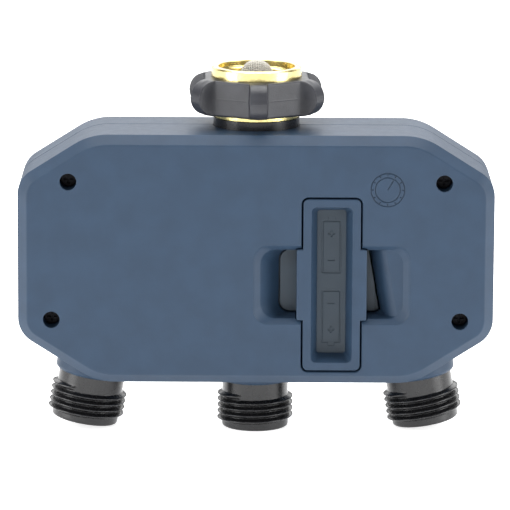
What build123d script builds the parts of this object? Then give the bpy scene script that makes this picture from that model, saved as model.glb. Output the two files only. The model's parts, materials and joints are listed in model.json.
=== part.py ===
"""Three-outlet drip irrigation timer, hung from a tap by its brass swivel.

The frame: +Z up along the inlet, the origin at the middle of the brass rim, the case's
parting plane at Y = 0, its back with the battery cassette towards -Y, its controls towards +Y.
All lengths are millimetres and all angles are degrees.
"""

import math
import os

from build123d import *

os.makedirs("parts", exist_ok=True)

# ---------------------------------------------------------------- driving dimensions
# Case
case_drop = 21.0
rear_depth = 26.9
front_depth = 28.0
front_shoulder = 18.4
front_inset = 8.0
shoulder_radius = 8.0
front_edge_radius = 3.0
wall = 2.5
top_cut = (25.4, 16.0)
bottom_cut = (27.7, 17.5)
slope_radius = 22.0
side_radius = 10.0
rear_bevel = 3.3
bevel_softening = 0.7
seam_bevel = 0.35
least_radius = 0.4

# Inlet swivel
hose_crest_radius = 13.5
hose_root_radius = 11.9
hose_pitch = 2.209
brass_radius = 15.95
brass_entry_radius = 13.57
brass_thread_radius = 12.4
brass_thread_depth = 10.0
brass_flange_radius = 14.9
brass_edge = 0.5
nut_reveal = 3.6
nut_height = 12.6
nut_apothem = 18.35
lobe_count = 6
lobe_width = 6.1
lobe_reach = 25.7
lobe_radius = 6.3
lobe_turn = 1.8
lobe_softening = 0.9

# Manifold
collar_radius = 15.26
collar_height = 3.0
neck_radius = 10.9
neck_bore = 8.0
neck_lip = 1.0
neck_lip_height = 1.0
manifold_drop = 33.0
manifold_radius = 7.0
manifold_bore = 5.0
manifold_y = 4.5
manifold_overrun = 8.0
inner_flange_radius = 17.2
inner_flange = 2.0

thread_base = 2.0
thread_crest = 0.3
thread_root = 0.15
brass_lip_drop = 2.0

# Filter and hose washer
washer_bore = 8.6
washer_height = 2.4
screen_dome_radius = 6.0
screen_rise = 2.1
screen_thickness = 0.5
screen_brim = 0.6

# Outlets
outlet_inset = 22.35
outlet_reach = 20.75
side_outlet_reach = 18.5
outlet_tilt = 10.0
outlet_neck_radius = 11.83
outlet_bore = 8.2
lead_in = 1.6
thread_length = 10.6
thread_turn = 105.0
spigot_boss_radius = 13.3
spigot_boss_reach = 17.0
spigot_boss_softening = 1.6
flange_height = 28.5
flange_thickness = 2.5
flange_radius = 13.6
outlet_edge = 0.9

# Valves, measured up each outlet's own axis
valve_height = 6.0
valve_half_width = 10.4
valve_floor = 0.8
pilot_y = -12.5
pilot_radius = 9.4
seat_radius = 4.0
seat_bore = 2.8
chamber_radius = 7.6
chamber_depth = 2.2
passage_radius = 6.0
channel_width = 5.0
channel_depth = 1.2
pipe_y = 7.0
pipe_radius = 5.5
pipe_bore = 4.0
socket_radius = 8.4
socket_height = 4.5
diaphragm_radius = 8.6
diaphragm_thickness = 1.0
bleed_radius = 0.5
bonnet_radius = 9.2
bonnet_height = 2.8
coil_radius = 6.0
coil_length = 26.0
coil_flange = 1.0
coil_winding = 5.4
core_radius = 4.0
core_wall = 0.6
core_plug = 8.0
plunger_length = 15.0
plunger_stroke = 1.6
spring_pressed = 3.3
spring_wall = 0.7
ring_section = 0.7
lead_radius = 0.8
lead_bend = 1.6
lead_rise = 3.4
lead_start = 5.0
lead_side = 7.2

# Battery cassette and its bay
bay_beside_centre = 4.15
bay_beside_outlet = 22.55
bay_below_tube = 1.05
bay_above_floor = 3.05
cell_room = 7.8
cell_side_room = 4.2
slot_radius = 2.4
slot_gap = 0.5
grip_overhang = 2.2
grip_margin = 0.85
grip_depth = 8.9
grip_radius = 0.7
window_border = 2.85
window_depth = 7.0
window_slope = 2.2
cell_mark_depth = 0.25
cell_mark_width = 0.6
cell_mark_length = 19.0
cell_mark_across = 7.0
cell_mark_step = 12.5
window_radius = 1.9
face_softening = 0.45
tray_plate = 2.0
tray_wall = 1.5
battery_radius = 7.25
battery_length = 50.5
battery_gap = 0.3
battery_nub_radius = 2.75
battery_nub = 1.0
contact_thickness = 0.4
contact_width = 8.0
bay_wall = 1.5
bay_gap = 0.25
bay_step = 9.4
seal_thickness = 0.8
terminal_width = 2.0
terminal_spacing = 20.0

# Finger pocket
finger_room = 14.75
pocket_height = 27.1
pocket_radius = 4.7
bowl_rim = 2.0
bowl_inset_x = 2.0
bowl_inset_z = 1.25
bowl_radius = 5.2
well_inset_x = 8.6
well_inset_z = 2.35
well_radius = 4.4
opening_radius = 3.9
pocket_softening = 0.6
block_rim_x = 0.4
block_rim_z = 0.2
block_flange = 1.0
block_radius = 3.6
block_slot_inset = 1.75
block_slot_width = 1.6
block_slot_depth = 1.2
hump_shift = 3.7
coil_room = 1.5
hump_wall = 2.0
hump_flat = 8.7
hump_gap = 0.45
hump_length = 31.0
hump_clear = 0.2

# Screws
screw_top = (17.85, 16.3)
screw_bottom = (11.85, 22.9)
screw_hole_radius = 2.95
screw_post_radius = 5.0
screw_depth = 7.0
screw_head_radius = 2.7
screw_head_height = 2.0
screw_radius = 1.5
screw_bite = 9.0
cross_width = 0.8

# Mould date dial
dial_mark_x = 46.0
dial_mark_z = 25.6
dial_mark_radius = 6.05
dial_mark_inner = 4.55
dial_mark_depth = 0.25
dial_mark_ticks = 12

# Front controls
fascia_border_x = 22.65
fascia_border_z = 17.2
fascia_radius = 9.0
fascia_thickness = 1.2
fascia_ledge = 3.0
fascia_back = 2.2
lcd_x = 34.0
lcd_width = 42.0
lcd_height = 24.0
lens_thickness = 1.2
lens_border = 3.0
board_margin = 4.0
board_thickness = 1.6
board_y = 18.6
board_screw_inset = 4.0
board_post_radius = 3.0
board_screw_radius = 1.1
board_screw_head = 2.2
board_screw_bite = 4.5
lcd_depth = 3.4
knob_x = -9.0
knob_radius = 18.0
knob_height = 9.0
knob_shaft_radius = 3.0
knob_gap = 0.5
grip_bar_width = 7.0
grip_bar_height = 5.0
button_x = -44.0
button_spacing_x = 15.0
button_spacing_z = 16.0
button_width = 10.5
button_height = 7.5
button_proud = 1.4
button_flange = 1.0
button_travel = 0.8
keypad_thickness = 0.8

# Clearances
close_gap = 0.1
sliding_gap = 0.15
body_gap = 0.3
seat_gap = 0.05

# ---------------------------------------------------------------- places
frame_width = 2 * battery_radius + tray_wall + cell_side_room
frame_height = battery_length + cell_room + 2 * tray_wall
slot_width = frame_width + 2 * slot_gap
slot_height = frame_height + 2 * slot_gap
bay_width = slot_width + 2 * bay_wall
bay_height = slot_height + 2 * bay_wall
window_width = frame_width - 2 * window_border
window_height = frame_height - 2 * window_border
bay_above = manifold_drop + manifold_radius + bay_below_tube - case_drop
cassette_x = valve_half_width + bay_beside_centre + bay_width / 2
outlet_spread = cassette_x + bay_width / 2 + bay_beside_outlet
case_width = 2 * (outlet_spread + outlet_inset)
case_height = bay_above + bay_height + bay_above_floor
cassette_z = case_height / 2 - bay_above - bay_height / 2
outlet_drop = case_drop + case_height + outlet_reach
side_outlet_drop = case_drop + case_height + side_outlet_reach
grip_width = frame_width + 2 * grip_overhang
grip_height = pocket_height - 2 * grip_margin
pocket_width = grip_width + 2 * finger_room
bowl_width = pocket_width - 2 * bowl_inset_x
bowl_height = pocket_height - 2 * bowl_inset_z
well_width = pocket_width - 2 * well_inset_x
well_height = pocket_height - 2 * well_inset_z
block_width = well_width - 2 * block_rim_x
block_height = well_height - 2 * block_rim_z
hump_y = pilot_y - hump_shift
hump_radius = coil_radius + coil_room + hump_wall
fascia_width = case_width - 2 * fascia_border_x
fascia_height = case_height - 2 * fascia_border_z
board_width = fascia_width - 2 * fascia_ledge
board_height = fascia_height - 2 * board_margin
plunger_spring = spring_pressed + plunger_stroke
contact_spring = cell_room - contact_thickness * 1.5 - 2 * close_gap
brass_lip_radius = neck_radius + close_gap
neck_lip_radius = neck_radius + neck_lip
washer_radius = brass_thread_radius - 2 * close_gap

case_z = -(case_drop + case_height / 2)
half_width = case_width / 2
half_height = case_height / 2
rear_y = -rear_depth
rear_inner_y = rear_y + wall
front_inner_y = front_depth - wall
cassette_centre = (cassette_x, case_z + cassette_z)
block_y = rear_y + bay_step


def back_plane(y):
    """The plane across the timer at a depth y: its sketches are seen from the back, in X and Z."""
    return Plane.XZ.offset(-y)


def outlet_plane(side):
    """The plane of an outlet's end face: its normal runs up the outlet's own axis."""
    tilt = math.radians(outlet_tilt) * side
    drop = side_outlet_drop if side else outlet_drop
    return Plane(
        origin=(side * outlet_spread, 0, -drop),
        x_dir=(math.cos(tilt), 0, math.sin(tilt)),
        z_dir=(-math.sin(tilt), 0, math.cos(tilt)),
    )


def section_plane(place):
    """The plane through a place's own axis: sketch X is the radius and sketch Y the height."""
    return Plane(origin=place.origin, x_dir=place.x_dir, z_dir=-place.y_dir)


def shifted(place, y, height=0.0):
    """A place moved across its axis in Y and up its axis."""
    return Plane(
        origin=place.origin + place.y_dir * y + place.z_dir * height,
        x_dir=place.x_dir,
        z_dir=place.z_dir,
    )


def profile(place, points):
    """A closed outline of (radius, height) points, ready to be turned about a place's axis."""
    with BuildSketch(section_plane(place)) as outline:
        with BuildLine():
            Polyline(*points, close=True)
        make_face()
    return outline.sketch


def axis_of(place):
    return Axis(place.origin, place.z_dir)


def disc(place, radius, bore=0.0):
    """A round or ring-shaped sketch across a place's axis."""
    with BuildSketch(place) as outline:
        Circle(radius)
        if bore > 0:
            Circle(bore, mode=Mode.SUBTRACT)
    return outline.sketch


def case_corners(inset):
    """The eight corners of the case's octagon, drawn in by an inset, with their radii."""
    corners = [
        (-half_width + top_cut[0], half_height, slope_radius),
        (half_width - top_cut[0], half_height, slope_radius),
        (half_width, half_height - top_cut[1], side_radius),
        (half_width, -half_height + bottom_cut[1], side_radius),
        (half_width - bottom_cut[0], -half_height, slope_radius),
        (-half_width + bottom_cut[0], -half_height, slope_radius),
        (-half_width, -half_height + bottom_cut[1], side_radius),
        (-half_width, half_height - top_cut[1], side_radius),
    ]
    count = len(corners)
    points, radii = [], []
    for index, (x, z, radius) in enumerate(corners):
        before, after = corners[index - 1], corners[(index + 1) % count]
        inward = []
        for (x1, z1), (x2, z2) in (((before[0], before[1]), (x, z)), ((x, z), (after[0], after[1]))):
            length = math.hypot(x2 - x1, z2 - z1)
            inward.append(((z2 - z1) / length, -(x2 - x1) / length))
        (ax, az), (bx, bz) = inward
        share = inset / (1 + ax * bx + az * bz)
        points.append((x + (ax + bx) * share, case_z + z + (az + bz) * share))
        radii.append(max(radius - inset, least_radius))
    return points, radii


def case_outline(y, inset=0.0):
    """The case's octagon with rounded corners, at a depth y and drawn in by an inset."""
    points, radii = case_corners(inset)
    with BuildSketch(back_plane(y)) as outline:
        with BuildLine():
            FilletPolyline(*points, radius=radii, close=True)
        make_face()
    return outline.sketch


def rounded(y, width, height, radius, centre=cassette_centre):
    """A rounded rectangle seen from the back, at a depth y."""
    with BuildSketch(back_plane(y)) as outline:
        with Locations(centre):
            RectangleRounded(width, height, radius)
    return outline.sketch


def round_at(y, radius, spots):
    """Discs seen from the back, at a depth y and at (x, z) spots."""
    with BuildSketch(back_plane(y)) as outline:
        with Locations(*spots):
            Circle(radius)
    return outline.sketch


screw_spots = [
    (sign * (half_width - x), case_z + way * (half_height - z))
    for (x, z), way in ((screw_top, 1), (screw_bottom, -1))
    for sign in (-1, 1)
]
outlet_sides = {"left": -1, "centre": 0, "right": 1}
outlet_planes = {name: outlet_plane(side) for name, side in outlet_sides.items()}
inlet_plane = Plane.XY
boss_bore = outlet_neck_radius + sliding_gap

# ---------------------------------------------------------------- shared solids
with BuildPart() as rear_body:
    extrude(case_outline(0), amount=rear_depth)
    rear_rim = rear_body.faces().sort_by(Axis.Y)[0].edges()
    chamfer(rear_rim, rear_bevel)
    bevel_rim = rear_body.faces().sort_by(Axis.Y)[0].edges()
    fillet(bevel_rim, bevel_softening)
    seam_rim = rear_body.faces().sort_by(Axis.Y)[-1].edges()
    chamfer(seam_rim, seam_bevel)

with BuildPart() as rear_cavity:
    extrude(case_outline(0, wall), amount=rear_depth - wall)

with BuildPart() as front_body:
    extrude(case_outline(0), amount=-front_shoulder)
    seam_rim = front_body.faces().sort_by(Axis.Y)[0].edges()
    chamfer(seam_rim, seam_bevel)
    loft([case_outline(front_shoulder), case_outline(front_depth, front_inset)], ruled=True)
    shoulder = front_body.edges().filter_by_position(
        Axis.Y, front_shoulder - least_radius, front_shoulder + least_radius
    )
    fillet(shoulder, shoulder_radius)
    front_rim = front_body.faces().sort_by(Axis.Y)[-1].edges()
    fillet(front_rim, front_edge_radius)

inner_shoulder = front_shoulder - wall / 3
with BuildPart() as front_cavity:
    extrude(case_outline(0, wall), amount=-inner_shoulder)
    loft(
        [
            case_outline(inner_shoulder, wall),
            case_outline(front_inner_y, wall + front_inset),
        ],
        ruled=True,
    )

# One boss round each outlet's neck, and the bore that the neck passes through.
with BuildPart() as spigot_bosses:
    for place in outlet_planes.values():
        base = shifted(place, 0, spigot_boss_reach)
        extrude(disc(base, spigot_boss_radius), amount=flange_height - spigot_boss_reach - seat_gap)
    for place in outlet_planes.values():
        base = shifted(place, 0, spigot_boss_reach)
        rim = spigot_bosses.edges().filter_by(GeomType.CIRCLE).sort_by_distance(base.origin)[0]
        fillet(rim, spigot_boss_softening)

with BuildPart() as spigot_bores:
    for place in outlet_planes.values():
        extrude(disc(place, boss_bore), amount=flange_height + valve_height)

with BuildPart() as collar_hole:
    extrude(disc(Plane.XY.offset(-case_drop - wall - 1), collar_radius + close_gap), amount=wall + 2)

# ---------------------------------------------------------------- rear shell
well_depth = bay_step
with BuildPart() as pocket:
    loft(
        [
            rounded(
                rear_y,
                pocket_width + 2 * pocket_softening,
                pocket_height + 2 * pocket_softening,
                pocket_radius + pocket_softening,
            ),
            rounded(rear_y + pocket_softening, pocket_width, pocket_height, pocket_radius),
            rounded(rear_y + bowl_rim, bowl_width, bowl_height, bowl_radius),
            rounded(rear_y + well_depth, well_width, well_height, well_radius),
        ],
        ruled=True,
    )

pocket_wall = wall * 0.8
with BuildPart() as pocket_shell:
    loft(
        [
            rounded(
                rear_y + wall / 2,
                pocket_width + 2 * pocket_wall,
                pocket_height + 2 * pocket_wall,
                pocket_radius + pocket_wall,
            ),
            rounded(
                rear_y + bowl_rim + pocket_wall,
                bowl_width + 2 * pocket_wall,
                bowl_height + 2 * pocket_wall,
                bowl_radius + pocket_wall,
            ),
            rounded(
                rear_y + well_depth + pocket_wall,
                well_width + pocket_wall,
                well_height + 2 * pocket_wall,
                well_radius,
            ),
        ],
        ruled=True,
    )

opening_width = block_width + 2 * slot_gap
opening_height = block_height + 2 * slot_gap
right_place = outlet_planes["right"]
valve_bottom = flange_height + flange_thickness
valve_top = valve_bottom + valve_height
bonnet_bottom = valve_top + diaphragm_thickness
bonnet_top = bonnet_bottom + bonnet_height
hump_bottom = bonnet_top + hump_clear
hump_place = shifted(right_place, hump_y, hump_bottom)

with BuildPart() as hump:
    with BuildSketch(hump_place):
        Circle(hump_radius)
        with Locations((0, hump_radius / 2)):
            Rectangle(2 * hump_radius, hump_radius)
        with Locations((0, -hump_flat - hump_radius)):
            Rectangle(2 * hump_radius, 2 * hump_radius, mode=Mode.SUBTRACT)
    extrude(amount=hump_length)

hump_inner = hump_radius - hump_wall
with BuildPart() as hump_hollow:
    with BuildSketch(shifted(right_place, hump_y, hump_bottom - hump_wall)):
        Circle(hump_inner)
        with Locations((0, hump_radius)):
            Rectangle(2 * hump_inner, 2 * hump_radius)
        with Locations((0, -hump_flat + hump_wall - hump_radius)):
            Rectangle(2 * hump_radius, 2 * hump_radius, mode=Mode.SUBTRACT)
    extrude(amount=hump_length + 2 * hump_wall)

gasket_inset = wall * 0.35
gasket_width = wall * 0.3
gasket_depth = 0.7

with BuildPart() as gasket_ring:
    extrude(case_outline(0, gasket_inset), amount=gasket_depth)
    extrude(case_outline(0, gasket_inset + gasket_width), amount=gasket_depth, mode=Mode.SUBTRACT)
    for place in outlet_planes.values():
        reach = shifted(place, 0, spigot_boss_reach)
        extrude(disc(reach, spigot_boss_radius), amount=flange_height, mode=Mode.SUBTRACT)
    extrude(
        disc(Plane.XY.offset(-case_drop - wall), collar_radius + 1),
        amount=wall,
        mode=Mode.SUBTRACT,
    )

# A mould date dial: two rings, twelve ticks and a pointer, cut shallow.
dial_mark_centre = (dial_mark_x, case_z + dial_mark_z)
mark_line = dial_mark_depth * 1.4
with BuildPart() as mould_dial:
    with BuildSketch(back_plane(rear_y)):
        with Locations(dial_mark_centre):
            for ring in (dial_mark_radius, dial_mark_inner):
                Circle(ring)
                Circle(ring - mark_line, mode=Mode.SUBTRACT)
            with PolarLocations((dial_mark_radius + dial_mark_inner) / 2, dial_mark_ticks):
                Rectangle((dial_mark_radius - dial_mark_inner) / 2, mark_line)
            Rectangle(dial_mark_inner, mark_line, align=(Align.MIN, Align.CENTER), rotation=60)
    extrude(amount=-dial_mark_depth)

with BuildPart() as rear_shell:
    add(rear_body.part)
    add(rear_cavity.part, mode=Mode.SUBTRACT)
    add(pocket_shell.part)
    extrude(round_at(rear_inner_y, screw_post_radius, screw_spots), amount=rear_inner_y)
    add(spigot_bosses.part)
    split(bisect_by=Plane.XZ, keep=Keep.TOP)
    add(pocket.part, mode=Mode.SUBTRACT)
    extrude(
        rounded(block_y - bowl_rim, opening_width, opening_height, opening_radius),
        amount=-(pocket_wall + 2 * bowl_rim),
        mode=Mode.SUBTRACT,
    )
    extrude(
        rounded(rear_y - 1, slot_width, slot_height, slot_radius),
        amount=-rear_depth,
        mode=Mode.SUBTRACT,
    )
    loft(
        [
            rounded(
                rear_y,
                slot_width + pocket_softening,
                slot_height + pocket_softening,
                slot_radius + pocket_softening / 2,
            ),
            rounded(rear_y + pocket_softening, slot_width, slot_height, slot_radius),
        ],
        ruled=True,
        mode=Mode.SUBTRACT,
    )
    extrude(
        rounded(rear_y, grip_width + 2 * body_gap, grip_height + 2 * body_gap, grip_radius + body_gap),
        amount=-well_depth,
        mode=Mode.SUBTRACT,
    )
    add(hump.part)
    split(bisect_by=Plane.XZ, keep=Keep.TOP)
    add(hump_hollow.part, mode=Mode.SUBTRACT)
    extrude(
        round_at(rear_y, screw_hole_radius, screw_spots),
        amount=-(screw_depth + screw_head_height),
        mode=Mode.SUBTRACT,
    )
    extrude(
        round_at(rear_y, screw_radius + sliding_gap, screw_spots),
        amount=-rear_depth,
        mode=Mode.SUBTRACT,
    )
    add(spigot_bores.part, mode=Mode.SUBTRACT)
    add(collar_hole.part, mode=Mode.SUBTRACT)
    add(gasket_ring.part, mode=Mode.SUBTRACT)
    add(mould_dial.part, mode=Mode.SUBTRACT)
rear_shell.part.label = "rear_shell"
export_step(rear_shell.part, "parts/rear_shell.step")

# ---------------------------------------------------------------- front shell
front_face_y = front_depth
fascia_seat_y = front_face_y - fascia_thickness
fascia_back_y = fascia_seat_y - fascia_back
panel_centre = (0, case_z)
board_front_y = board_y + board_thickness
board_spots = [
    (x * (board_width / 2 - board_screw_inset), case_z + z * (board_height / 2 - board_screw_inset))
    for x in (-1, 1)
    for z in (-1, 1)
]

with BuildPart() as front_shell:
    add(front_body.part)
    add(front_cavity.part, mode=Mode.SUBTRACT)
    extrude(round_at(0, screw_post_radius - 1, screw_spots), amount=-front_inner_y)
    add(spigot_bosses.part)
    split(bisect_by=Plane.XZ, keep=Keep.BOTTOM)
    extrude(
        rounded(front_face_y, fascia_width + 2 * close_gap, fascia_height + 2 * close_gap,
                fascia_radius, panel_centre),
        amount=fascia_thickness,
        mode=Mode.SUBTRACT,
    )
    extrude(
        rounded(front_face_y, fascia_width - 2 * fascia_ledge, fascia_height - 2 * fascia_ledge,
                fascia_radius - fascia_ledge, panel_centre),
        amount=2 * wall,
        mode=Mode.SUBTRACT,
    )
    extrude(round_at(0, screw_radius, screw_spots), amount=-screw_bite - 1, mode=Mode.SUBTRACT)
    add(spigot_bores.part, mode=Mode.SUBTRACT)
    add(collar_hole.part, mode=Mode.SUBTRACT)
front_shell.part.label = "front_shell"
export_step(front_shell.part, "parts/front_shell.step")

with BuildPart() as case_gasket:
    add(gasket_ring.part)
case_gasket.part.label = "case_gasket"
export_step(case_gasket.part, "parts/case_gasket.step")

# Pan-head screws with a cross recess, driven from the bottom of the four deep holes.
screw_head_y = rear_y + screw_depth
with BuildPart() as case_screws:
    extrude(round_at(screw_head_y, screw_head_radius, screw_spots), amount=-screw_head_height)
    with BuildSketch(back_plane(screw_head_y)):
        with Locations(*screw_spots):
            Rectangle(screw_head_radius * 1.3, cross_width)
            Rectangle(cross_width, screw_head_radius * 1.3)
    extrude(amount=-screw_head_height * 0.6, mode=Mode.SUBTRACT)
    extrude(
        round_at(screw_head_y + screw_head_height, screw_radius, screw_spots),
        amount=-(screw_bite - screw_head_y - screw_head_height),
    )
case_screws.part.label = "case_screws"
export_step(case_screws.part, "parts/case_screws.step")

# ---------------------------------------------------------------- inlet swivel
collar_top = collar_height - case_drop
brass_bottom = collar_top + close_gap
lip_top = -brass_thread_depth - brass_lip_drop

with BuildPart() as brass_insert:
    revolve(
        profile(
            inlet_plane,
            [
                (brass_entry_radius, 0),
                (brass_radius - brass_edge, 0),
                (brass_radius, -brass_edge),
                (brass_radius, -nut_reveal - nut_height),
                (brass_flange_radius, -nut_reveal - nut_height),
                (brass_flange_radius, brass_bottom),
                (brass_lip_radius, brass_bottom),
                (brass_lip_radius, lip_top),
                (brass_entry_radius, lip_top),
            ],
        ),
        axis=Axis.Z,
    )
    with BuildLine(mode=Mode.PRIVATE) as inlet_helix:
        Helix(
            hose_pitch,
            brass_thread_depth - hose_pitch,
            brass_entry_radius,
            center=(0, 0, -brass_thread_depth),
        )
    with BuildSketch(Plane.XZ) as inlet_ridge:
        with BuildLine():
            Polyline(
                (brass_entry_radius + thread_root, -brass_thread_depth - thread_base / 2),
                (brass_thread_radius, -brass_thread_depth - thread_crest / 2),
                (brass_thread_radius, -brass_thread_depth + thread_crest / 2),
                (brass_entry_radius + thread_root, -brass_thread_depth + thread_base / 2),
                close=True,
            )
        make_face()
    sweep(inlet_ridge.sketch, path=inlet_helix.line, is_frenet=True)
brass_insert.part.label = "brass_insert"
export_step(brass_insert.part, "parts/brass_insert.step")

# Six half-round lobes standing on a hexagonal core.
nut_top = -nut_reveal
lobe_centre = lobe_reach - lobe_radius
with BuildPart() as lobe:
    with BuildSketch(Plane.XZ.offset(-lobe_width / 2)):
        with Locations((lobe_centre, nut_top - nut_height / 2)):
            Circle(lobe_radius)
            with Locations((-lobe_centre / 2 + brass_radius / 2, 0)):
                Rectangle(lobe_centre - brass_radius, nut_height)
    extrude(amount=lobe_width)
    outer_rims = lobe.edges().filter_by(GeomType.CIRCLE)
    fillet(outer_rims, lobe_softening)

with BuildPart() as hand_nut:
    with BuildSketch(Plane.XY.offset(nut_top - nut_height)):
        RegularPolygon(
            nut_apothem,
            lobe_count,
            major_radius=False,
            rotation=lobe_turn + 180 / lobe_count,
        )
    extrude(amount=nut_height)
    for number in range(lobe_count):
        add(lobe.part.rotate(Axis.Z, lobe_turn + 360 / lobe_count * (number + 0.5)))
    with BuildSketch(Plane.XY.offset(nut_top)):
        Circle(brass_radius + seat_gap)
    extrude(amount=-2 * nut_height, both=True, mode=Mode.SUBTRACT)
hand_nut.part.label = "hand_nut"
export_step(hand_nut.part, "parts/hand_nut.step")

# ---------------------------------------------------------------- manifold and filter
neck_top = lip_top + neck_lip_height + seat_gap
neck_groove_z = (collar_top + lip_top) / 2
inner_face_z = -case_drop - wall - seat_gap
manifold_z = -manifold_drop
pipe_end = valve_top - valve_floor + seat_gap


def ring_profile(place, radius, height, width, depth):
    """A rectangle of a given width and depth, its middle at a radius and height."""
    with BuildSketch(section_plane(place)) as outline:
        with Locations((radius, height)):
            Rectangle(width, depth)
    return outline.sketch


def ring_seal(place, radius, height):
    """The round section of a rubber ring, its middle at a radius and height."""
    with BuildSketch(section_plane(place)) as outline:
        with Locations((radius, height)):
            Circle(ring_section)
    return outline.sketch


def branch_length(name):
    """How far along an outlet's axis the manifold's cross tube lies."""
    place = outlet_planes[name]
    return (manifold_z - place.origin.Z) / place.z_dir.Z


branch_x = {
    name: place.origin.X + place.z_dir.X * branch_length(name)
    for name, place in outlet_planes.items()
}
tube_reach = max(branch_x.values()) + manifold_overrun
seal_seat = brass_lip_radius - seat_gap - ring_section
groove_width = 2 * (ring_section + close_gap)

with BuildPart() as manifold:
    revolve(
        profile(
            inlet_plane,
            [
                (0, neck_top),
                (neck_lip_radius, neck_top),
                (neck_lip_radius, neck_top - neck_lip_height),
                (neck_radius, neck_top - neck_lip_height),
                (neck_radius, collar_top),
                (collar_radius, collar_top),
                (collar_radius, inner_face_z),
                (inner_flange_radius, inner_face_z),
                (inner_flange_radius, inner_face_z - inner_flange),
                (neck_radius, inner_face_z - inner_flange),
                (neck_radius, manifold_z - wall),
                (0, manifold_z - wall),
            ],
        ),
        axis=Axis.Z,
    )
    tube_end = Plane(origin=(-tube_reach, manifold_y, manifold_z), z_dir=(1, 0, 0))
    extrude(disc(tube_end, manifold_radius), amount=2 * tube_reach)
    for name, place in outlet_planes.items():
        branch = shifted(place, pipe_y, pipe_end)
        extrude(disc(branch, pipe_radius), amount=branch_length(name) - pipe_end)
    extrude(disc(Plane.XY.offset(neck_top), neck_bore), amount=manifold_z - neck_top, mode=Mode.SUBTRACT)
    extrude(
        disc(Plane(origin=(wall - tube_reach, manifold_y, manifold_z), z_dir=(1, 0, 0)), manifold_bore),
        amount=2 * (tube_reach - wall),
        mode=Mode.SUBTRACT,
    )
    for name, place in outlet_planes.items():
        branch = shifted(place, pipe_y, pipe_end)
        extrude(disc(branch, pipe_bore), amount=branch_length(name) - pipe_end, mode=Mode.SUBTRACT)
    revolve(
        ring_profile(inlet_plane, seal_seat + ring_section, neck_groove_z, 4 * ring_section, groove_width),
        axis=Axis.Z,
        mode=Mode.SUBTRACT,
    )
manifold.part.label = "manifold"
export_step(manifold.part, "parts/manifold.step")

with BuildPart() as neck_seal:
    revolve(ring_seal(inlet_plane, seal_seat, neck_groove_z), axis=Axis.Z)
neck_seal.part.label = "neck_seal"
export_step(neck_seal.part, "parts/neck_seal.step")

with BuildPart() as inlet_washer:
    extrude(disc(Plane.XY.offset(neck_top), washer_radius, washer_bore), amount=washer_height)
inlet_washer.part.label = "inlet_washer"
export_step(inlet_washer.part, "parts/inlet_washer.step")

# The screen: a flat steel rim on the washer, and a cup of woven mesh with a domed top.
brim_z = neck_top + washer_height
dome_z = screen_rise - screen_dome_radius
screen_inner = screen_dome_radius - screen_thickness
with BuildPart() as filter_rim:
    extrude(
        disc(
            Plane.XY.offset(brim_z),
            washer_radius - body_gap,
            screen_dome_radius + seat_gap,
        ),
        amount=screen_brim,
    )
filter_rim.part.label = "filter_rim"
export_step(filter_rim.part, "parts/filter_rim.step")

with BuildPart() as filter_screen:
    extrude(
        disc(Plane.XY.offset(brim_z), screen_dome_radius, screen_inner),
        amount=dome_z - brim_z,
    )
    with BuildSketch(Plane.XZ):
        with Locations((0, dome_z)):
            Circle(screen_dome_radius)
            Circle(screen_inner, mode=Mode.SUBTRACT)
            Rectangle(
                screen_dome_radius,
                screen_dome_radius,
                align=(Align.MIN, Align.MIN),
                mode=Mode.INTERSECT,
            )
    revolve(axis=Axis.Z)
filter_screen.part.label = "filter_screen"
export_step(filter_screen.part, "parts/filter_screen.step")

# ---------------------------------------------------------------- outlets
flange_top = flange_height + flange_thickness
seal_groove = 2 * ring_section + close_gap
outlet_seal_radius = (outlet_bore + outlet_neck_radius) / 2
thread_turns_length = thread_length - thread_base / 2


def outlet_body(place):
    """A hose spigot with a flange to hang by, a seal groove in its top and a hose thread."""
    with BuildPart() as body:
        revolve(
            profile(
                place,
                [
                    (outlet_bore, 0),
                    (outlet_neck_radius - outlet_edge, 0),
                    (outlet_neck_radius, outlet_edge),
                    (outlet_neck_radius, flange_height),
                    (flange_radius, flange_height),
                    (flange_radius, flange_top),
                    (outlet_bore, flange_top),
                ],
            ),
            axis=axis_of(place),
        )
        revolve(
            ring_profile(place, outlet_seal_radius, flange_top, groove_width, 2 * seal_groove),
            axis=axis_of(place),
            mode=Mode.SUBTRACT,
        )
    thread_start = place.origin + place.z_dir * (lead_in + thread_base / 2)
    with BuildPart() as thread:
        with BuildLine(mode=Mode.PRIVATE) as helix:
            Helix(
                hose_pitch,
                thread_turns_length,
                hose_root_radius,
                center=thread_start,
                direction=place.z_dir,
            )
        start = helix.line @ 0
        outward = (start - thread_start).normalized()
        ridge_plane = Plane(
            origin=start,
            x_dir=outward,
            z_dir=outward.cross(place.z_dir),
        )
        with BuildSketch(ridge_plane) as ridge:
            with BuildLine():
                Polyline(
                    (-thread_root - hose_root_radius + outlet_neck_radius, -thread_base / 2),
                    (hose_crest_radius - hose_root_radius, -thread_crest / 2),
                    (hose_crest_radius - hose_root_radius, thread_crest / 2),
                    (-thread_root - hose_root_radius + outlet_neck_radius, thread_base / 2),
                    close=True,
                )
            make_face()
        sweep(ridge.sketch, path=helix.line, is_frenet=True)
    with BuildPart() as outlet:
        add(body.part)
        add(thread.part.rotate(axis_of(place), thread_turn))
    return outlet.part


with BuildPart() as outlet_left:
    add(outlet_body(outlet_planes["left"]))
outlet_left.part.label = "outlet_left"
export_step(outlet_left.part, "parts/outlet_left.step")

with BuildPart() as outlet_centre:
    add(outlet_body(outlet_planes["centre"]))
outlet_centre.part.label = "outlet_centre"
export_step(outlet_centre.part, "parts/outlet_centre.step")

with BuildPart() as outlet_right:
    add(outlet_body(outlet_planes["right"]))
outlet_right.part.label = "outlet_right"
export_step(outlet_right.part, "parts/outlet_right.step")

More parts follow.
